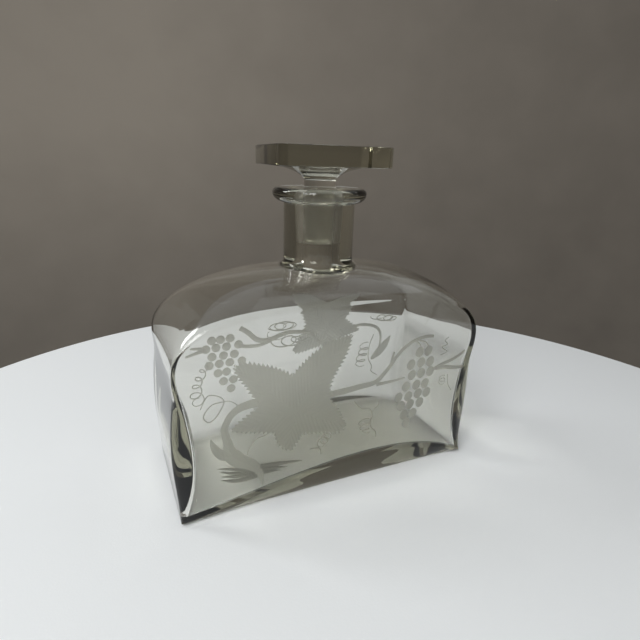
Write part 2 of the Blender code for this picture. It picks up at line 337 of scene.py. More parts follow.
def cut_glass(look):
    """Solid glass, wheel-cut and polished flat, with a plug that is ground matt to fit the neck.

    Its flats are true and its gloss is hard.  The tint shows because light travels far inside.
    The plug is the part below the lip, so height alone tells the matt from the polished glass.
    """
    material, tree = new_material("cut_glass")
    place = add_node(tree, "ShaderNodeTexCoord")
    axes = add_node(tree, "ShaderNodeSeparateXYZ", {"Vector": place.outputs["Object"]})
    matt = add_node(tree, "ShaderNodeMapRange",
                    {"Value": axes.outputs["Z"], "From Min": LIP_TOP - 2 * MOUTH_EDGE,
                     "From Max": LIP_TOP - MOUTH_EDGE, "To Min": look.joint_roughness,
                     "To Max": 0.0})
    shader = add_node(tree, "ShaderNodeBsdfPrincipled",
                      {"Base Color": (1.0, 1.0, 1.0, 1.0), "Roughness": matt.outputs["Result"],
                       "IOR": GLASS_IOR, "Transmission Weight": 1.0})
    tinted_depth(tree, shader, look)
    return material


def linen_cloth(colour):
    """Pressed white table linen: matt, with a plain weave that barely shows at this distance."""
    material, tree = new_material("white_linen")
    place = add_node(tree, "ShaderNodeTexCoord")
    weave = add_node(tree, "ShaderNodeTexNoise",
                     {"Vector": place.outputs["Object"], "Scale": 1 / WEAVE_SIZE, "Detail": 2.0})
    bump = add_node(tree, "ShaderNodeBump",
                    {"Height": weave.outputs["Fac"], "Strength": 0.25, "Distance": WEAVE_DEPTH})
    shader = add_node(tree, "ShaderNodeBsdfPrincipled",
                      {"Base Color": (*colour, 1.0), "Roughness": 0.9,
                       "Specular IOR Level": 0.1, "Normal": bump.outputs["Normal"]})
    add_node(tree, "ShaderNodeOutputMaterial", {"Surface": shader.outputs["BSDF"]})
    return material


def painted_plaster(colour):
    """A plain painted wall: matt, with slight clouds of tone about 15 cm across.

    It darkens to the right and towards the floor with painted shade, as a wall does away from a
    window.
    """
    material, tree = new_material("painted_plaster")
    place = add_node(tree, "ShaderNodeTexCoord")
    clouds = add_node(tree, "ShaderNodeTexNoise",
                      {"Vector": place.outputs["Object"], "Scale": 1 / CLOUD_SIZE, "Detail": 3.0})
    axes = add_node(tree, "ShaderNodeSeparateXYZ", {"Vector": place.outputs["Object"]})
    # Painted shade: the wall's colour falls off to the right and downwards
    sideways = add_node(tree, "ShaderNodeMapRange",
                        {"Value": axes.outputs["X"], "From Min": SHADE_LEFT, "From Max": SHADE_RIGHT,
                         "To Min": 1.0, "To Max": SHADE_SIDE})
    upward = add_node(tree, "ShaderNodeMapRange",
                      {"Value": axes.outputs["Z"], "From Min": SHADE_BOTTOM, "From Max": SHADE_TOP,
                       "To Min": SHADE_LOW, "To Max": 1.0})
    lit = add_node(tree, "ShaderNodeMath",
                   {0: sideways.outputs["Result"], 1: upward.outputs["Result"]},
                   operation="MULTIPLY")
    cloudy = add_node(tree, "ShaderNodeMath",
                      {0: clouds.outputs["Fac"], 1: CLOUD_STRENGTH, 2: -CLOUD_STRENGTH / 2},
                      operation="MULTIPLY_ADD")
    share = add_node(tree, "ShaderNodeMath",
                     {0: lit.outputs["Value"], 1: cloudy.outputs["Value"]}, use_clamp=True)
    shade = tuple(c * WALL_DARKEST for c in colour)
    tone = add_node(tree, "ShaderNodeMix",
                    {0: share.outputs["Value"], 6: (*shade, 1.0), 7: (*colour, 1.0)},
                    data_type="RGBA")
    shader = add_node(tree, "ShaderNodeBsdfPrincipled",
                      {"Base Color": tone.outputs[2], "Roughness": 0.95, "Specular IOR Level": 0.1})
    add_node(tree, "ShaderNodeOutputMaterial", {"Surface": shader.outputs["BSDF"]})
    return material


# The bottle.  Its swollen edges run between two outlines that no operator joins in this way, so
# its mesh is made in code.


def steps(start, end, count):
    """Evenly spaced values from start up to, but without, end."""
    return [start + (end - start) * i / count for i in range(count)]


def smooth_step(value):
    """A soft ramp from 0 to 1."""
    value = min(1.0, max(0.0, value))
    return value * value * (3 - 2 * value)


def pinch_curve(u):
    """Bow of the face's side edge from its lower point (0) to its top (1), 1 at the deepest."""
    deepest = 1 / (1 + PINCH_POWER)
    return u * (1 - u) ** PINCH_POWER / (deepest * (1 - deepest) ** PINCH_POWER)


def swell_curve(u):
    """Swell of the side between its two ends, 1 at the middle."""
    return (1 - math.cos(2 * math.pi * u)) / 2


def arch_height(x, skin, top, squareness):
    """Height of the face or shoulder outline above the sides, at x."""
    share = min(1.0, abs(x) / skin.half_width)
    rise = (1 - share ** squareness) ** (1 / squareness)
    return skin.side_top + (top - skin.side_top) * rise


def block_size(skin):
    """Half width and half depth of the patch of shoulder that carries the neck."""
    ring = skin.tube_radius + skin.tube_fillet
    return ring * NECK_PATCH, (ring + skin.half_depth - edge_reach(skin)) / 2


def edge_reach(skin):
    """Depth from the face in which its edge takes up its full shape."""
    return max(EDGE_DEPTH, skin.edge_radius)


def outline_points(skin):
    """Points round the body: (face x, face z, middle x, middle z, softness of the edge)."""
    points = []
    half = skin.half_width
    for v in steps(-1, 1, BOTTOM_STEPS):
        t = math.sin(math.pi / 2 * v)
        lift = max(0.0, (half * abs(t) - FOOT_WIDTH / 2) / (half - FOOT_WIDTH / 2)) ** 2
        points.append((half * t, skin.corner + (skin.arch + ARCH_SLANT * t) * (1 - t * t),
                       half * t, skin.corner * lift, 0.0))
    side = []
    for v in steps(0, 1, SIDE_STEPS):
        u = 1 - math.cos(math.pi / 2 * v)
        z = skin.corner + (skin.side_top - skin.corner) * u
        side.append((half - skin.pinch * pinch_curve(u), z,
                     half + SIDE_SWELL * swell_curve(u), z,
                     smooth_step((z - SOFT_HEIGHT) / (skin.side_top - SOFT_HEIGHT))))
    points += side
    block = block_size(skin)[0]
    turn = math.asin(block / half)
    top_x = [half * math.sin(angle) for angle in steps(math.pi / 2, turn, CORNER_STEPS)]
    top_x += steps(block, -block, NECK_SIDE_STEPS)
    top_x += [-x for x in reversed(top_x[:CORNER_STEPS])]
    top_x.insert(CORNER_STEPS + NECK_SIDE_STEPS, -block)
    for x in top_x:
        face_z = arch_height(x, skin, skin.face_top, FACE_SQUARENESS)
        middle_z = arch_height(x, skin, skin.crest, SHOULDER_SQUARENESS)
        points.append((x, face_z, x, middle_z, 1.0))
    points += [(-fx, z, -mx, mz, soft) for fx, z, mx, mz, soft in reversed(side[1:])]
    if not skin.swollen:
        points = [unswollen(point) for point in points]
    return round_corners(points)


def unswollen(point):
    """A point of the hollow's outline: it runs straight from face to face, except on the shoulder."""
    face_x, face_z, middle_x, middle_z, soft = point
    return (face_x, face_z, face_x + (middle_x - face_x) * soft,
            face_z + (middle_z - face_z) * soft, soft)


def round_corners(points):
    """Rounds the two lower corners of the outline, each with one curve that leaves out its point."""
    rounded = list(points)
    for corner in (0, BOTTOM_STEPS):
        start = points[corner - CORNER_REACH]
        end = points[(corner + CORNER_REACH) % len(points)]
        for k in range(-CORNER_REACH, CORNER_REACH + 1):
            t = (k + CORNER_REACH) / (2 * CORNER_REACH)
            trio = zip(start, points[corner], end)
            rounded[(corner + k) % len(points)] = tuple(
                (1 - t) ** 2 * a + 2 * t * (1 - t) * b + t * t * c for a, b, c in trio)
    return rounded


def edge_share(depth, skin, soft):
    """How far the surface has gone from the face's edge to its middle line, at a depth."""
    near = min(1.0, depth / EDGE_DEPTH)
    crisp = 1 - (1 - near) ** 2
    reach = 1 - depth / skin.half_depth
    round_over = math.sqrt(max(0.0, 1 - reach * reach))
    return crisp + (round_over - crisp) * soft


def edge_inset(depth, skin, soft):
    """How far the rounded edge of the flat face is drawn in, at a depth from the face."""
    left = max(0.0, 1 - depth / skin.edge_radius)
    return skin.edge_radius * (1 - math.sqrt(1 - left * left)) * (1 - soft)


def stations(skin):
    """Distances along Y of the loops, from the front face to the back face."""
    block = block_size(skin)[1]
    reach = edge_reach(skin)
    front = [reach * (k / EDGE_STEPS) ** 2 - skin.half_depth for k in range(EDGE_STEPS)]
    start = math.acos(1 - reach / skin.half_depth)
    end = math.acos(block / skin.half_depth)
    front += [-skin.half_depth * math.cos(angle) for angle in steps(start, end, SHELF_STEPS)]
    middle = steps(-block, block, NECK_SIDE_STEPS) + [block]
    return front + middle + [-y for y in reversed(front)]


def shoulder_height(x, y, skin):
    """Height of the domed shoulder over a point of its plan, close to the neck."""
    face_z = arch_height(x, skin, skin.face_top, FACE_SQUARENESS)
    middle_z = arch_height(x, skin, skin.crest, SHOULDER_SQUARENESS)
    share = math.sqrt(max(0.0, 1 - (y / skin.half_depth) ** 2))
    return face_z + (middle_z - face_z) * share


def bridge(bm, loop, ring):
    """Faces between two closed loops of vertices of the same length."""
    for i, corner in enumerate(loop):
        after = (i + 1) % len(loop)
        bm.faces.new((corner, loop[after], ring[after], ring[i]))


def close_face(bm, loop, skin):
    """Closes the body's front or back with a narrow polished rim and one flat face."""
    middle = (skin.corner + skin.face_top) / 2
    ring = []
    for vert in loop:
        x, y, z = vert.co
        ring.append(bm.verts.new((x * RIM_SHARE, y, middle + (z - middle) * RIM_SHARE)))
    bridge(bm, loop, ring)
    bm.faces.new(ring)


def body_skin(bm, skin):
    """Adds one skin of the body and returns its open ring, where the neck or the bore begins."""
    outline = outline_points(skin)
    center = (skin.corner + skin.face_top) / 2
    half_height = (skin.face_top - skin.corner) / 2
    loops = []
    for y in stations(skin):
        depth = skin.half_depth - abs(y)
        loop = []
        for face_x, face_z, middle_x, middle_z, soft in outline:
            share = edge_share(depth, skin, soft)
            inset = edge_inset(depth, skin, soft)
            x = face_x + (middle_x - face_x) * share
            z = face_z + (middle_z - face_z) * share
            loop.append(bm.verts.new((x * (1 - inset / skin.half_width), y,
                                      z - (z - center) * inset / half_height)))
        loops.append(loop)
    first = BOTTOM_STEPS + SIDE_STEPS + CORNER_STEPS
    last = first + NECK_SIDE_STEPS
    near = EDGE_STEPS + SHELF_STEPS
    far = near + NECK_SIDE_STEPS
    for row in range(len(loops) - 1):
        for i in range(len(outline)):
            if near <= row < far and first <= i < last:
                continue
            after = (i + 1) % len(outline)
            bm.faces.new((loops[row][i], loops[row][after],
                          loops[row + 1][after], loops[row + 1][i]))
    close_face(bm, loops[0], skin)
    close_face(bm, loops[-1], skin)
    rim = [loops[near][i] for i in range(last, first, -1)]
    rim += [loops[row][first] for row in range(near, far)]
    rim += [loops[far][i] for i in range(first, last)]
    rim += [loops[row][last] for row in range(far, near, -1)]
    for vert in bm.verts:
        if not vert.link_faces:
            bm.verts.remove(vert)
    return neck_blend(bm, skin, rim)


def neck_blend(bm, skin, rim):
    """Runs the shoulder from the square hole in it up to a round tube."""
    ring_radius = skin.tube_radius + skin.tube_fillet
    begin = math.atan2(rim[0].co.y, rim[0].co.x)
    turns = [begin + 2 * math.pi * i / len(rim) for i in range(len(rim))]
    round_points = [(math.cos(turn), math.sin(turn)) for turn in turns]
    loop = rim
    for step in range(1, BLEND_STEPS + 1):
        share = step / BLEND_STEPS
        ring = []
        for vert, (cosine, sine) in zip(rim, round_points):
            x = vert.co.x + (ring_radius * cosine - vert.co.x) * share
            y = vert.co.y + (ring_radius * sine - vert.co.y) * share
            ring.append(bm.verts.new((x, y, shoulder_height(x, y, skin))))
        bridge(bm, loop, ring)
        loop = ring
    for i in range(1, ARC_STEPS + 1):
        turn = math.pi / 2 * i / ARC_STEPS
        radius = ring_radius - skin.tube_fillet * math.sin(turn)
        rise = skin.tube_fillet * (1 - math.cos(turn))
        ring = []
        for cosine, sine in round_points:
            x = radius * cosine
            y = radius * sine
            ring.append(bm.verts.new((x, y, shoulder_height(x, y, skin) + rise)))
        bridge(bm, loop, ring)
        loop = ring
    return loop


def arc(center_r, center_z, radius_r, radius_z, start, end, count):
    """Points (r, z) of an elliptic arc, angles in degrees from the +r axis."""
    points = []
    for i in range(count + 1):
        angle = math.radians(start + (end - start) * i / count)
        points.append((center_r + radius_r * math.cos(angle),
                       center_z + radius_z * math.sin(angle)))
    return points


def mouth_profile(sizes, bore_radius, bore_end_radius, plug_end):
    """Neck, lip and bore as (r, z), from the outside of the neck over the lip into the bore."""
    lip_bottom = LIP_TOP - sizes.lip_height
    under = sizes.lip_height - LIP_EDGE
    profile = [(sizes.neck_radius, sizes.shoulder_height + NECK_FILLET + SUPPORT),
               (sizes.neck_radius, lip_bottom - SUPPORT)]
    profile += arc(sizes.neck_radius, lip_bottom + under, sizes.lip_radius - sizes.neck_radius,
                   under, -90, 0, ARC_STEPS)
    profile += arc(sizes.lip_radius - LIP_EDGE, LIP_TOP - LIP_EDGE, LIP_EDGE, LIP_EDGE,
                   0, 90, ARC_STEPS)[1:]
    profile.append((sizes.lip_radius - LIP_EDGE - SUPPORT, LIP_TOP))
    profile.append((bore_radius + MOUTH_EDGE + SUPPORT, LIP_TOP))
    profile += arc(bore_radius + MOUTH_EDGE, LIP_TOP - MOUTH_EDGE, MOUTH_EDGE, MOUTH_EDGE,
                   90, 180, ARC_STEPS // 2)
    profile.append((bore_radius, LIP_TOP - MOUTH_EDGE - SUPPORT))
    profile.append((bore_end_radius, plug_end))
    return profile


def nearest_order(ring, loop):
    """The ring's vertices, begun at the one whose direction is nearest the loop's first."""
    aim = math.atan2(loop[0].co.y, loop[0].co.x)

    def distance(i):
        turn = math.atan2(ring[i].co.y, ring[i].co.x) - aim
        return abs(math.remainder(turn, 2 * math.pi))

    first = min(range(len(ring)), key=distance)
    return ring[first:] + ring[:first]


def bottle_mesh(sizes, stopper):
    """The whole bottle as one closed wall of glass, open at the mouth."""
    bore_radius = stopper.stem_radius + PLUG_CLEARANCE
    bore_end_radius = bore_radius - PLUG_TAPER * stopper.plug_length
    plug_end = LIP_TOP - stopper.plug_length
    outer = Skin(
        half_width=sizes.face_width / 2, half_depth=sizes.body_depth / 2,
        corner=CORNER_LIFT, arch=FACE_ARCH, pinch=FACE_PINCH,
        side_top=sizes.side_height, face_top=sizes.face_height, crest=sizes.shoulder_height,
        tube_radius=sizes.neck_radius, tube_fillet=NECK_FILLET, swollen=True,
        edge_radius=EDGE_RADIUS)
    inner = Skin(
        half_width=sizes.face_width / 2 - EDGE_WALL,
        half_depth=sizes.body_depth / 2 - sizes.wall,
        corner=CORNER_LIFT + EDGE_WALL, arch=FACE_ARCH, pinch=FACE_PINCH,
        side_top=sizes.side_height, face_top=sizes.face_height,
        crest=sizes.shoulder_height - sizes.wall,
        tube_radius=bore_end_radius, tube_fillet=BORE_FLARE, swollen=False,
        edge_radius=HOLLOW_RADIUS)
    bm = bmesh.new()
    neck = body_skin(bm, outer)
    directions = [(vert.co.x / sizes.neck_radius, vert.co.y / sizes.neck_radius) for vert in neck]
    loop = neck
    for radius, z in mouth_profile(sizes, bore_radius, bore_end_radius, plug_end):
        ring = [bm.verts.new((radius * x, radius * y, z)) for x, y in directions]
        bridge(bm, loop, ring)
        loop = ring
    bore = body_skin(bm, inner)
    bridge(bm, loop, nearest_order(bore, loop))
    bmesh.ops.recalc_face_normals(bm, faces=bm.faces)
    matt = bm.faces.layers.float.new(MATT)
    bm.faces.layers.float.new(DEEP_SHADE)
    for face in bm.faces:
        face.smooth = True
        middle = face.calc_center_median()
        in_bore = math.hypot(middle.x, middle.y) < bore_radius + PLUG_CLEARANCE
        if in_bore and plug_end < middle.z < LIP_TOP - MOUTH_EDGE:
            face[matt] = JOINT
    mesh = bpy.data.meshes.new("bottle_glass")
    bm.to_mesh(mesh)
    bm.free()
    return mesh


# The engraving.  All its points are millimetres on the face: x to the right, z up from the table.


def along(points, share):
    """The point at a share of the length of a broken line."""
    lengths = [math.dist(a, b) for a, b in zip(points, points[1:])]
    left = share * sum(lengths)
    for a, b, length in zip(points, points[1:], lengths):
        if left <= length or (a, b) == (points[-2], points[-1]):
            part = left / length
            return a[0] + (b[0] - a[0]) * part, a[1] + (b[1] - a[1]) * part
        left -= length


def smooth_path(points, step):
    """A smooth line through given points, cut in pieces of about one step."""
    ends = [points[0], *points, points[-1]]
    path = []
    for before, a, b, after in zip(ends, ends[1:], ends[2:], ends[3:]):
        count = max(1, round(math.dist(a, b) / step))
        for t in steps(0, 1, count):
            path.append(tuple(
                ((2 * q) + (r - p) * t + (2 * p - 5 * q + 4 * r - s) * t * t
                 + (3 * q - p - 3 * r + s) * t ** 3) / 2
                for p, q, r, s in zip(before, a, b, after)))
    path.append(points[-1])
    return path


def value_along(values, share):
    """A value at a share of the way along evenly spaced values."""
    spot = share * (len(values) - 1)
    i = min(int(spot), len(values) - 2)
    return values[i] + (values[i + 1] - values[i]) * (spot - i)


def stroke(points, widths, step=STROKE_STEP, depth=STROKE_DEPTH):
    """Cells of one V-shaped cut along a smooth line, its width changing along the way."""
    path = smooth_path(points, step)
    left = []
    middle = []
    right = []
    for i, (x, z) in enumerate(path):
        before = path[max(0, i - 1)]
        after = path[min(len(path) - 1, i + 1)]
        length = math.dist(before, after)
        half = value_along(widths, i / (len(path) - 1)) / 2
        across = ((before[1] - after[1]) / length * half, (after[0] - before[0]) / length * half)
        left.append((x + across[0], z + across[1], 0.0))
        middle.append((x, z, depth))
        right.append((x - across[0], z - across[1], 0.0))
    cells = []
    for i in range(len(path) - 1):
        cells.append([left[i], left[i + 1], middle[i + 1], middle[i]])
        cells.append([middle[i], middle[i + 1], right[i + 1], right[i]])
    return cells


def coil(loops, flatness, start, width, hand=1):
    """Cells of a tendril that makes one turn at each loop, given as (x, z, radius)."""
    path = []
    count = len(loops) * COIL_STEPS
    for i in range(count + 1):
        share = i / count
        x, z, radius = (value_along([loop[k] for loop in loops], share) for k in range(3))
        angle = math.radians(start) + hand * 2 * math.pi * len(loops) * share
        path.append((x + radius * math.cos(angle), z + radius * flatness * math.sin(angle)))
    end = width * COIL_END
    return stroke(path, (end, width, width, end), step=COIL_PIECE)


def grape(x, z, half_width, half_height, lean):
    """Cells of one round dish ground with the edge of a small wheel, leaning to the right."""
    rim = []
    bowl = []
    for turn in steps(0, 2 * math.pi, GRAPE_SIDES):
        across = half_width * math.cos(turn)
        upward = half_height * math.sin(turn)
        dx = across * math.cos(lean) + upward * math.sin(lean)
        dz = upward * math.cos(lean) - across * math.sin(lean)
        rim.append((x + dx, z + dz, 0.0))
        bowl.append((x + dx * BOWL_SHARE, z + dz * BOWL_SHARE, GRAPE_DEPTH * BOWL_DEPTH))
    cells = []
    for i in range(len(rim)):
        after = (i + 1) % len(rim)
        cells.append([rim[i], rim[after], bowl[after], bowl[i]])
        cells.append([bowl[i], bowl[after], (x, z, GRAPE_DEPTH)])
    return cells


def half_lobe(midrib, edge):
    """Cells of one side of a lobe: hatched cuts from the midrib, each ending in a tooth."""
    length = sum(math.dist(a, b) for a, b in zip(edge, edge[1:]))
    count = max(3, round(length / TOOTH_PITCH))
    cells = []
    for k in range(count):
        low, high = k / count, (k + 1) / count
        center = (low + high) / 2
        roots = [along(midrib, share * MIDRIB_SHARE) for share in (low, center, high)]
        ends = [along(edge, share * EDGE_SHARE) for share in (low, center, high)]
        reach = math.dist(roots[1], ends[1])
        run = math.dist(ends[0], ends[2])
        out = ((ends[2][1] - ends[0][1]) / run, (ends[0][0] - ends[2][0]) / run)
        if out[0] * (ends[1][0] - roots[1][0]) + out[1] * (ends[1][1] - roots[1][1]) < 0:
            out = (-out[0], -out[1])
        ahead = along(edge, min(EDGE_SHARE, center + TOOTH_LEAN / count))
        size = min(TOOTH_REACH, reach * TOOTH_SHARE)
        tip = (ahead[0] + out[0] * size, ahead[1] + out[1] * size, 0.0)
        deep = (roots[1][0] + (tip[0] - roots[1][0]) * BARB_LOW,
                roots[1][1] + (tip[1] - roots[1][1]) * BARB_LOW, BARB_DEPTH)
        heart = (*roots[1], BARB_DEPTH)
        cells.append([deep, tip, (*ends[0], 0.0), (*roots[0], 0.0), heart])
        cells.append([deep, heart, (*roots[2], 0.0), (*ends[2], 0.0), tip])
    return cells


LEAF_HEART = (-28.0, 54.0)
# Each lobe: its midrib from the heart to the tip, then its two edges from the notches to the tip.
LEAF_LOBES = (
    (((-28, 54), (-40, 67), (-50, 77), (-60, 84.5)),
     ((-29.5, 74), (-34, 77.5), (-42, 81.5), (-53, 85), (-60, 85)),
     ((-45, 64.5), (-51, 68.7), (-53, 73.4), (-56.9, 78.4), (-60, 84.5))),
    (((-28, 54), (-18, 70), (-8, 82), (4, 93)),
     ((-29.5, 74), (-26, 78), (-18, 85), (-8, 90.5), (4, 93)),
     ((-9.5, 61.5), (-7, 70), (-1, 80), (1, 84), (4, 93))),
    (((-28, 54), (-15, 47.5), (-5, 42.5), (3, 39.5)),
     ((-9.5, 61.5), (-7, 55), (-3, 50), (-1, 45), (3, 39.5)),
     ((-24, 40.5), (-12, 38.5), (-6, 37), (0, 36), (3, 39.5))),
    (((-28, 54), (-29, 46), (-30, 38), (-29.5, 31)),
     ((-24, 40.5), (-26, 38), (-27.5, 35), (-29.5, 31)),
     ((-38.5, 44.5), (-37.5, 40), (-36, 36), (-33, 33), (-29.5, 31))),
    (((-28, 54), (-40, 53.5), (-52, 51), (-62, 50)),
     ((-38.5, 44.5), (-48, 47), (-55, 48.5), (-62, 50)),
     ((-45, 64.5), (-48, 60), (-53, 56.5), (-62, 50.5))),
)

LEFT_GRAPES = (
    (-69.7, 99.3), (-65.6, 99.4), (-61.1, 99.5), (-67.9, 95.6), (-62.9, 95.6), (-57.2, 95.9),
    (-69.9, 91.3), (-64.5, 91.3), (-59.3, 91.4), (-66.6, 87.4), (-61.6, 87.4), (-55.7, 87.4),
    (-67.4, 82.7), (-63.3, 82.9), (-64.9, 78.1), (-60.2, 78.3), (-61.4, 73.8), (-72.6, 95.4),
    (-71.4, 87.0))
RIGHT_GRAPES = (
    (48.7, 76.6), (54.8, 76.6), (43.7, 69.5), (50.5, 69.9), (56.9, 69.5), (44.8, 62.7),
    (51.2, 63.1), (57.6, 63.1), (41.4, 55.9), (48.6, 55.9), (54.8, 55.9), (36.9, 49.7),
    (43.7, 49.3), (50.5, 49.9), (56.6, 49.7), (39.1, 43.8), (45.5, 43.8), (52.3, 43.8),
    (41.9, 37.4), (48, 37.4), (43.9, 31.6))
# Half width, half height and lean of the grapes
LEFT_GRAPE = (2.15, 2.15, 0.0)
RIGHT_GRAPE = (2.8, 3.3, math.radians(14))

# Stems and twigs: the points of the line, then its widths from end to end.
STEMS = (
    (((-11, 60), (0, 60.6), (10, 61.5), (20, 62.5), (26.2, 67.5), (29.8, 71.6), (33, 76), (37.3, 80.2),
      (42.3, 83.4), (48, 85.2), (53.7, 85.7), (57.6, 85.2)), (4.2, 3.6, 2.6, 2.2, 1.8)),
    (((29.6, 71), (30.4, 75.5), (31.2, 79.4)), (1.8, 1.4)),
    (((45.5, 83.8), (48, 81.8), (49, 80)), (0.9, 0.7)),
    (((47, 84), (52, 82.4), (54.4, 79.6)), (1.1, 0.8)),
    (((21, 61), (30, 61.2), (40, 62)), (2.4, 1.2)),
    (((60.2, 64.6), (66.6, 66.6), (73.7, 68.4), (78.7, 70.8), (82.3, 73.2)), (1.8, 2.2, 1.4)),
    (((60.2, 64.4), (68, 64.2), (75, 62.9), (83, 62.3)), (2.2, 2.8, 2.0)),
    (((-56.3, 104), (-52.4, 101.2), (-49, 97.8), (-45.2, 96.2), (-40.5, 96.6), (-36.5, 97.9),
      (-32, 98.8), (-26.5, 98.4), (-20, 97.4)), (2.4, 2.6, 2.4, 2.2, 1.6)),
    (((-56.5, 95.2), (-53, 94.3), (-47, 94.1), (-41.5, 95.6)), (2.0, 1.8, 1.6)),
    (((-73.4, 95.8), (-77, 96.3), (-79.6, 96.6)), (2.2, 0.9)),
    (((-73.4, 95), (-77, 94.2), (-82, 92.8)), (2.2, 0.9)),
)

# The torn sheath at the foot of the vine: the stem, the body with its claw, and the wisp on its left
SHEATH = (
    (((-45, 63.6), (-52.2, 63.2), (-57.3, 62), (-61.4, 59.4), (-64, 55.5), (-65.4, 51), (-63.8, 43)),
     (5.2, 5.0, 4.4, 3.8, 3.6, 3.8, 4.6)),
    (((-63.9, 45), (-63.4, 39.5), (-61.6, 35.4), (-58, 31.4), (-52.6, 27.4), (-48.9, 23),
      (-46.6, 19), (-46.3, 13.5)), (3.8, 6.0, 8.6, 8.0, 7.6, 6.0, 3.0, 0.5)),
    (((-72.4, 47.8), (-71.6, 44.5), (-69.8, 40.5), (-66.5, 36.8), (-63, 35)),
     (0.5, 3.0, 4.6, 5.4, 4.0)),
)

# Its frayed ends, cut deeper than the rest
FEATHERS = (
    (((-50.5, 21.6), (-56, 25), (-62, 27.7), (-69.7, 29.8)), (2.0, 2.4, 1.8, 0.3)),
    (((-50.5, 21), (-57, 23.8), (-62, 25.2), (-68.6, 27.8)), (2.2, 2.4, 1.6, 0.3)),
    (((-50, 20.6), (-57, 22.2), (-62, 23.2), (-67.9, 24.7)), (2.0, 2.2, 1.8, 0.3)),
    (((-49, 20), (-56, 19.8), (-62, 20.5), (-68, 22.6)), (2.2, 2.8, 2.4, 0.3)),
    (((-47.2, 25.4), (-40, 24.7), (-32, 24), (-23.5, 22.8)), (2.8, 3.0, 1.8, 0.3)),
    (((-46, 23.2), (-40, 22.6), (-35, 21.8), (-32.2, 21.2)), (2.8, 2.4, 1.4, 0.3)),
    (((-45.4, 21.2), (-40, 20.8), (-36.2, 20)), (2.4, 1.6, 0.3)),
)

# Thin tendrils drawn as single lines
TENDRILS = (
    ((-76.6, 65), (-72.7, 71.6), (-67, 70), (-65.2, 67), (-67, 62.7), (-69.9, 58.8), (-73, 57.4),
     (-75.2, 59.9), (-74.5, 62.7), (-71.3, 66.3), (-67, 67.1), (-62.7, 66.9), (-59.5, 64.9),
     (-58.1, 62.4)),
    ((-17.5, 98), (-16.5, 93.5), (-14, 91.3), (-11.5, 92.5), (-10.5, 95)),
    ((16.9, 91.6), (14.8, 85.6), (14.4, 78.4), (16.9, 73.1), (16.9, 69.9), (20.9, 67)),
    ((7.3, 53), (12.3, 47.7), (18, 45.9), (19.8, 41.3), (18.7, 38.4), (19.4, 34.1), (22.6, 30.6),
     (23.4, 26.6)),
    ((23.4, 50.6), (23.4, 47.7), (20.9, 45.6)),
    ((68.7, 83.4), (66.2, 81.3), (68.4, 78.8), (64.5, 77.4), (68.4, 74.1), (64.1, 72.7)),
    ((70.9, 59.1), (71.6, 54.9), (72.6, 51.3), (75.5, 47.4)),
    ((-19, 29), (-13, 28), (-12, 24)),
    ((-54.1, 34.1), (-53.1, 37.7), (-49.1, 42.4), (-43.4, 43.8), (-39.1, 46.3)),
)
TENDRIL_WIDTH = 0.65

# Coiled tendrils: loops as (x, z, radius), flatness, starting angle, and the way round
COILS = (
    (((-72.5, 88, 1.4), (-75.2, 83, 2), (-77.4, 78.6, 2), (-78.1, 72.7, 2.8), (-76.6, 68.4, 3.3)),
     0.9, 90, -1),
    (((-39, 102.2, 3.6), (-35.4, 102.4, 6.0), (-31, 102.2, 3.8)), 0.38, 180, 1),
    (((-41.8, 99.4, 1.7), (-35, 94.8, 6.0), (-29.5, 93.6, 3.8), (-24, 95.6, 3.1)), 0.55, 90, 1),
    (((11.6, 86.9, 2.6), (11.2, 82.6, 2.8), (9.8, 78.1, 3.0), (9.4, 74.1, 2.4)), 0.45, 20, 1),
    (((14.4, 39.4, 3.8), (15.1, 34.5, 3.0), (17.3, 30.9, 1.8)), 0.4, 20, 1),
    (((67.3, 57.4, 2.2), (67.3, 53.8, 2.2)), 0.75, 30, 1),
    (((-7, 36, 2.0), (-10.2, 33.1, 3.0), (-13, 30, 2.4)), 0.9, 60, 1),
    (((17, 101.5, 3.0), (24, 100, 4.0), (29, 99, 2.6)), 0.4, 150, 1),
)

# What the glass shows of the back face, in the frame's own x
BACK_LEAF = {"shift_x": 52.0, "shift_z": 14.0, "size": 0.78, "mirror": -1}
BACK_STEMS = (
    (((38, 62), (47, 68), (59, 67.5), (67, 63), (69, 54), (66, 43)), (1.2, 2.4, 2.0, 0.8)),
    (((62, 40.5), (67, 44.5), (72, 49.5), (77.5, 57)), (2.0, 6.5, 6.0, 0.4)),
)


def leaf(shift_x=0.0, shift_z=0.0, size=1.0, mirror=1):
    """Cells of a five-lobed vine leaf, with its heart moved and its size changed."""
    def moved(line):
        return [(LEAF_HEART[0] + shift_x + mirror * size * (x - LEAF_HEART[0]),
                 LEAF_HEART[1] + shift_z + size * (z - LEAF_HEART[1])) for x, z in line]

    cells = []
    for midrib, *edges in LEAF_LOBES:
        for edge in edges:
            cells += half_lobe(moved(midrib), moved(edge))
    return cells


def front_vine():
    """All cuts of the front face."""
    cells = leaf()
    for x, z in LEFT_GRAPES:
        cells += grape(x, z, *LEFT_GRAPE)
    for x, z in RIGHT_GRAPES:
        cells += grape(x, z, *RIGHT_GRAPE)
    for points, widths in STEMS + SHEATH:
        cells += stroke(points, widths)
    for points, widths in FEATHERS:
        cells += stroke(points, widths, depth=FEATHER_DEPTH)
    end = TENDRIL_WIDTH * TENDRIL_END
    for points in TENDRILS:
        cells += stroke(points, (end, TENDRIL_WIDTH, end))
    for loops, flatness, start, hand in COILS:
        cells += coil(loops, flatness, start, TENDRIL_WIDTH, hand)
    return cells


def back_vine():
    """The cuts of the back face."""
    cells = leaf(**BACK_LEAF)
    for points, widths in BACK_STEMS:
        cells += stroke(points, widths)
    return cells


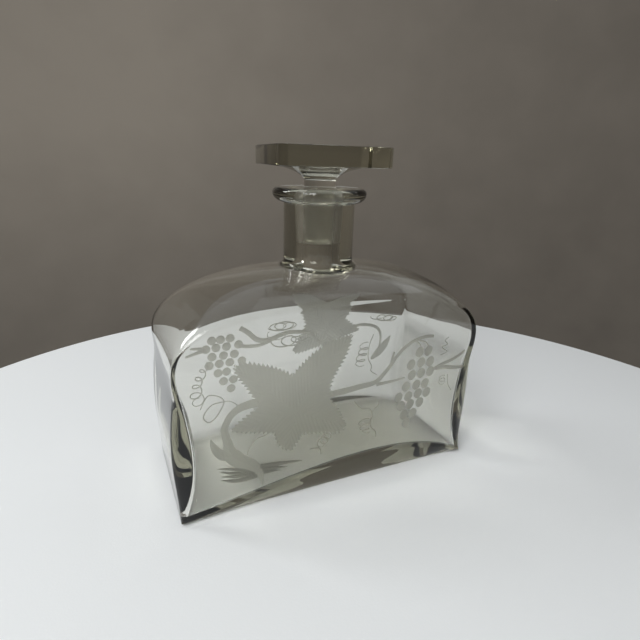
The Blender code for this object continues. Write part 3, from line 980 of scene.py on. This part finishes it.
def fan_triangles(cell):
    """The triangles of a cell, spread from its first corner, anticlockwise and none of them empty."""
    triangles = []
    first = cell[0]
    for a, b in zip(cell[1:], cell[2:]):
        area = (a[0] - first[0]) * (b[1] - first[1]) - (a[1] - first[1]) * (b[0] - first[0])
        if abs(area) > SMALLEST_CUT:
            triangles.append((first, a, b) if area > 0 else (first, b, a))
    return triangles


def sorted_rim(face):
    """The corners of a face, anticlockwise as seen from the front of the bottle."""
    corners = list(face.verts)
    turn = sum(a.co.x * b.co.z - a.co.z * b.co.x
               for a, b in zip(corners, corners[1:] + corners[:1]))
    return corners if turn > 0 else corners[::-1]


def cut_squares(cuts):
    """The cuts' triangles, listed by the squares of a grid that they touch."""
    squares = {}
    for cut in cuts:
        columns, rows = ([int(corner[k] // SQUARE) for corner in cut] for k in range(2))
        for column in range(min(columns), max(columns) + 1):
            for row in range(min(rows), max(rows) + 1):
                squares.setdefault((column, row), []).append(cut)
    return squares


def carve(bm, face, cells, inward):
    """Replaces a flat face by one that has the cells cut into it, and makes the cuts matt."""
    rim = sorted_rim(face)
    plane = rim[0].co.y
    points = [Vector((vert.co.x, vert.co.z)) / MM for vert in rim]
    depths = [0.0] * len(points)
    shapes = [list(range(len(points)))]
    cuts = [made for cell in cells for made in fan_triangles(cell)]
    for triangle in cuts:
        shapes.append(list(range(len(points), len(points) + 3)))
        points += [Vector((x, z)) for x, z, depth in triangle]
        depths += [depth for x, z, depth in triangle]
    flat = delaunay_2d_cdt(points, [], shapes, 1, MERGE_REACH)
    corners, triangles, from_points, from_shapes = flat[0], flat[2], flat[3], flat[5]
    squares = cut_squares(cuts)
    found = []
    open_corners = set()
    for triangle, sources in zip(triangles, from_shapes):
        spot = sum((corners[k] for k in triangle), Vector((0.0, 0.0))) / 3
        if 0 not in sources:
            raise RuntimeError(f"a cut runs off the flat face at {spot.x:.1f}, {spot.y:.1f} mm")
        near = squares.get((int(spot.x // SQUARE), int(spot.y // SQUARE)), ())
        found.append([cut for cut in near
                      if intersect_point_tri_2d(spot, *(corner[:2] for corner in cut))])
        if not found[-1]:
            open_corners.update(triangle)
    made = []
    for i, (spot, sources) in enumerate(zip(corners, from_points)):
        on_rim = [k for k in sources if k < len(rim)]
        if on_rim:
            made.append(rim[on_rim[0]])
            continue
        depth = max((depths[k] for k in sources), default=0.0)
        if i in open_corners:
            depth = 0.0
        made.append(bm.verts.new((spot.x * MM, plane + inward * depth * MM, spot.y * MM)))
    bm.faces.remove(face)
    matt = bm.faces.layers.float[MATT]
    deep = bm.faces.layers.float[DEEP_SHADE]
    for triangle, over in zip(triangles, found):
        new = bm.faces.new([made[k] for k in triangle])
        new[matt] = ENGRAVED if over else POLISHED
        # The deepest cuts are marked for painted shade
        new[deep] = any(corner[2] > GRAPE_DEPTH for cut in over for corner in cut)
        new.smooth = True
        # Sharp edges shade a cut as flat.  A face that isn't smooth would leave the tinted depth open.
        if over:
            for edge in new.edges:
                edge.smooth = False


# Making and placing


def deselect():
    """Leaves nothing selected, so that an operator acts on the new piece alone."""
    if bpy.context.object and bpy.context.object.mode != "OBJECT":
        bpy.ops.object.mode_set(mode="OBJECT")
    bpy.ops.object.select_all(action="DESELECT")


def make_active(piece):
    """Selects this piece alone."""
    deselect()
    piece.select_set(True)
    bpy.context.view_layer.objects.active = piece


class DECANTER_OT_bottle(bpy.types.Operator):
    """Makes the blown bottle, hollow and open at the mouth"""

    bl_idname = "decanter.bottle"
    bl_label = "Blow the bottle"

    def execute(self, context):
        settings = context.scene.decanter
        deselect()
        mesh = bottle_mesh(settings.bottle, settings.stopper)
        mesh.materials.append(blown_glass(settings.glass))
        bottle = bpy.data.objects.new("bottle_glass", mesh)
        context.collection.objects.link(bottle)
        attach(bottle, "bottle")
        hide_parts("bottle")
        return {"FINISHED"}


class DECANTER_OT_vine(bpy.types.Operator):
    """Engraves the vine in the front and back faces of the bottle"""

    bl_idname = "decanter.vine"
    bl_label = "Engrave the vine"

    def execute(self, context):
        mesh = bpy.data.objects["bottle_glass"].data
        bm = bmesh.new()
        bm.from_mesh(mesh)
        half_depth = context.scene.decanter.bottle.body_depth / 2
        for side, cells in ((-1, front_vine()), (1, back_vine())):
            flats = [face for face in bm.faces
                     if abs(face.calc_center_median().y - side * half_depth) < FLAT_REACH]
            carve(bm, max(flats, key=lambda face: len(face.verts)), cells, -side)
        bmesh.ops.recalc_face_normals(bm, faces=bm.faces)
        bm.to_mesh(mesh)
        bm.free()
        return {"FINISHED"}


class DECANTER_OT_stopper(bpy.types.Operator):
    """Cuts the stopper: a square head on a bell, a stem and a ground plug"""

    bl_idname = "decanter.stopper"
    bl_label = "Cut the stopper"

    def execute(self, context):
        settings = context.scene.decanter
        sizes = settings.stopper
        stopper = self.head(sizes)
        foot = self.foot(sizes)
        make_active(stopper)
        union = stopper.modifiers.new("bell, stem and plug", "BOOLEAN")
        union.operation = "UNION"
        union.solver = "EXACT"
        union.object = foot
        bpy.ops.object.modifier_apply(modifier=union.name)
        bpy.data.objects.remove(foot)
        stopper.location = (0.0, 0.0, LIP_TOP)
        stopper.rotation_euler = (0.0, 0.0, sizes.head_turn)
        bpy.ops.object.transform_apply(location=True, rotation=True, scale=True)
        stopper.data.materials.append(cut_glass(settings.glass))
        bpy.ops.object.shade_smooth_by_angle(angle=CUT_ANGLE)
        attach(stopper, "stopper")
        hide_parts("stopper")
        return {"FINISHED"}

    def head(self, sizes):
        """A square slab with cut corners and polished edges."""
        deselect()
        base = sizes.stem_length + sizes.flare_height
        bpy.ops.mesh.primitive_cube_add(
            size=1, location=(0, 0, base + sizes.head_height / 2),
            scale=(sizes.head_width, sizes.head_width, sizes.head_height))
        head = bpy.context.object
        head.name = "stopper_glass"
        head.data.name = "stopper_glass"
        bpy.ops.object.transform_apply(location=True, rotation=True, scale=True)
        bpy.ops.object.mode_set(mode="EDIT")
        bpy.ops.mesh.select_mode(type="EDGE")
        bpy.ops.mesh.select_all(action="DESELECT")
        bm = bmesh.from_edit_mesh(head.data)
        for edge in bm.edges:
            a, b = edge.verts
            edge.select_set(abs(a.co.z - b.co.z) > sizes.head_height / 2)
        bmesh.update_edit_mesh(head.data)
        bpy.ops.mesh.bevel(offset_type="OFFSET", offset=sizes.head_corner, segments=1)
        bpy.ops.mesh.select_all(action="SELECT")
        bpy.ops.mesh.bevel(offset_type="OFFSET", offset=sizes.head_bevel, segments=2)
        bpy.ops.object.mode_set(mode="OBJECT")
        return head

    def foot(self, sizes):
        """Bell, stem and plug, turned from one profile."""
        deselect()
        mesh = bpy.data.meshes.new("stopper_foot")
        profile = self.foot_profile(sizes)
        mesh.from_pydata([(radius, 0.0, z) for radius, z in profile],
                         [(i, i + 1) for i in range(len(profile) - 1)], [])
        foot = bpy.data.objects.new("stopper_foot", mesh)
        bpy.context.collection.objects.link(foot)
        make_active(foot)
        bpy.ops.object.mode_set(mode="EDIT")
        bpy.ops.mesh.select_all(action="SELECT")
        bpy.ops.mesh.spin(steps=FOOT_SIDES, angle=2 * math.pi, center=(0, 0, 0), axis=(0, 0, 1))
        bpy.ops.mesh.select_all(action="SELECT")
        bpy.ops.mesh.remove_doubles(threshold=WELD_REACH)
        bpy.ops.mesh.normals_make_consistent(inside=False)
        bpy.ops.object.mode_set(mode="OBJECT")
        return foot

    def foot_profile(self, sizes):
        """Bell, stem and plug as (r, z) above the lip, top to bottom."""
        top = sizes.stem_length + sizes.flare_height
        overlap = sizes.head_height / 2
        profile = [(0.0, top + overlap), (sizes.flare_radius, top + overlap)]
        for i in range(3 * ARC_STEPS + 1):
            share = 1 - i / (3 * ARC_STEPS)
            opening = (sizes.flare_radius - sizes.stem_radius) * share ** FLARE_POWER
            profile.append((sizes.stem_radius + opening,
                            sizes.stem_length + sizes.flare_height * share))
        profile.append((sizes.stem_radius, -MOUTH_EDGE))
        end_radius = sizes.stem_radius - PLUG_TAPER * sizes.plug_length
        profile.append((end_radius, 2 * PLUG_EDGE - sizes.plug_length))
        profile += arc(end_radius - PLUG_EDGE, PLUG_EDGE - sizes.plug_length, PLUG_EDGE, PLUG_EDGE,
                       0, -90, ARC_STEPS // 2)
        profile.append((0.0, -sizes.plug_length))
        return profile


TABLE_CENTER = (0.015, -0.04)
TABLE_RADIUS = 0.335
TABLE_THICKNESS = 0.02
TABLE_DROP = 0.0002         # below the base, so that no two faces lie in one plane
TABLE_EDGE = 0.004
TABLE_ANGLE = math.radians(40)  # up to which its faces are shaded as one
ROOM_RADIUS = 1.7
ROOM_HEIGHT = 2.6
ROOM_MIDDLE = 0.3           # height of the middle of its wall
ROUND_SIDES = 128           # of the table and the wall
# Each window: its name, place, width, height and share of the power.  The second one makes the
# glint on the shoulder's left corner.
WINDOWS = (
    ("window", (-1.0, -0.75, 1.15), 0.8, 0.8, 1.0),
    ("tall_window", (-0.944, 0.711, 0.95), 0.26, 0.66, 0.27),
)
CAMERA_PLACE = (-0.1124, -0.24435, 0.18069)
CAMERA_YAW = math.radians(25.23)
CAMERA_PITCH = math.radians(18.74)
CAMERA_ROLL = math.radians(1.85)
CAMERA_LENS = 27.0
CAMERA_SENSOR = 36.0
CAMERA_NEAR = 0.01


class DECANTER_OT_stage(bpy.types.Operator):
    """Sets the table, the backdrop, the light and the camera"""

    bl_idname = "decanter.stage"
    bl_label = "Set the stage"

    def execute(self, context):
        look = context.scene.decanter.stage
        self.table(look)
        self.room(look)
        self.lights(context, look)
        self.camera(context)
        context.scene.view_settings.view_transform = "Standard"
        # Polished glass stays clear to light that has met matt glass before
        context.scene.cycles.blur_glossy = 0.0
        return {"FINISHED"}

    def table(self, look):
        """A round table top, softly rounded at its edge."""
        deselect()
        bpy.ops.mesh.primitive_cylinder_add(
            vertices=ROUND_SIDES, radius=TABLE_RADIUS, depth=TABLE_THICKNESS,
            location=(*TABLE_CENTER, -TABLE_THICKNESS / 2 - TABLE_DROP))
        table = bpy.context.object
        table.name = "table"
        bpy.ops.object.transform_apply(location=True, rotation=True, scale=True)
        edge = table.modifiers.new("rounded edge", "BEVEL")
        edge.width = TABLE_EDGE
        edge.segments = 4
        bpy.ops.object.modifier_apply(modifier=edge.name)
        bpy.ops.object.shade_smooth_by_angle(angle=TABLE_ANGLE)
        table.data.materials.append(linen_cloth(look.table_colour))

    def room(self, look):
        """A round plain wall about the table, open at the top."""
        deselect()
        bpy.ops.mesh.primitive_cylinder_add(
            vertices=ROUND_SIDES, radius=ROOM_RADIUS, depth=ROOM_HEIGHT, end_fill_type="NOTHING",
            location=(0, 0, ROOM_MIDDLE))
        wall = bpy.context.object
        wall.name = "backdrop"
        bpy.ops.object.transform_apply(location=True, rotation=True, scale=True)
        bpy.ops.object.shade_smooth()
        wall.data.materials.append(painted_plaster(look.wall_colour))

    def lights(self, context, look):
        """A wide and a tall window on the left, and even light from above."""
        deselect()
        for name, place, width, height, share in WINDOWS:
            aim = Vector((0.0, 0.0, LIP_TOP / 2)) - Vector(place)
            bpy.ops.object.light_add(type="AREA", location=place)
            window = context.object
            window.name = name
            window.rotation_euler = aim.to_track_quat("-Z", "Y").to_euler()
            window.data.shape = "RECTANGLE"
            window.data.size = width
            window.data.size_y = height
            window.data.energy = look.window_power * share
        world = bpy.data.worlds.new("room_light")
        context.scene.world = world
        world.use_nodes = True
        world.node_tree.nodes.clear()
        sky = add_node(world.node_tree, "ShaderNodeBackground",
                       {"Color": (*linear(SKY_COLOUR), 1.0), "Strength": look.room_light})
        add_node(world.node_tree, "ShaderNodeOutputWorld", {"Surface": sky.outputs["Background"]})

    def camera(self, context):
        """The photograph's point of view."""
        data = bpy.data.cameras.new("camera")
        data.lens = CAMERA_LENS
        data.sensor_width = CAMERA_SENSOR
        data.clip_start = CAMERA_NEAR
        ahead = Vector((math.sin(CAMERA_YAW) * math.cos(CAMERA_PITCH),
                        math.cos(CAMERA_YAW) * math.cos(CAMERA_PITCH), -math.sin(CAMERA_PITCH)))
        level = Vector((math.cos(CAMERA_YAW), -math.sin(CAMERA_YAW), 0.0))
        upright = level.cross(ahead)
        right = level * math.cos(CAMERA_ROLL) + upright * math.sin(CAMERA_ROLL)
        up = upright * math.cos(CAMERA_ROLL) - level * math.sin(CAMERA_ROLL)
        turned = Matrix((right, up, -ahead)).transposed().to_4x4()
        camera = bpy.data.objects.new("camera", data)
        context.collection.objects.link(camera)
        camera.matrix_world = Matrix.Translation(CAMERA_PLACE) @ turned
        context.scene.camera = camera


class DECANTER_PT_panel(bpy.types.Panel):
    """Lists the steps of making the decanter and its settings"""

    bl_idname = "DECANTER_PT_panel"
    bl_label = "Decanter"
    bl_space_type = "VIEW_3D"
    bl_region_type = "UI"
    bl_category = "Decanter"

    def draw(self, context):
        settings = context.scene.decanter
        for group in (settings.bottle, settings.stopper, settings.glass, settings.stage):
            box = self.layout.box()
            for name in group.__annotations__:
                box.prop(group, name)
        for operator in OPERATORS:
            self.layout.operator(operator.bl_idname)


OPERATORS = (DECANTER_OT_bottle, DECANTER_OT_vine, DECANTER_OT_stopper, DECANTER_OT_stage)
CLASSES = (BottleSizes, StopperSizes, GlassLook, StageLook, DecanterSettings,
           *OPERATORS, DECANTER_PT_panel)


def register():
    for made in CLASSES:
        bpy.utils.register_class(made)
    bpy.types.Scene.decanter = PointerProperty(type=DecanterSettings)


def unregister():
    del bpy.types.Scene.decanter
    for made in reversed(CLASSES):
        bpy.utils.unregister_class(made)


def main():
    register()
    bpy.ops.decanter.bottle()
    bpy.ops.decanter.vine()
    bpy.ops.decanter.stopper()
    bpy.ops.decanter.stage()


if __name__ == "__main__":
    main()
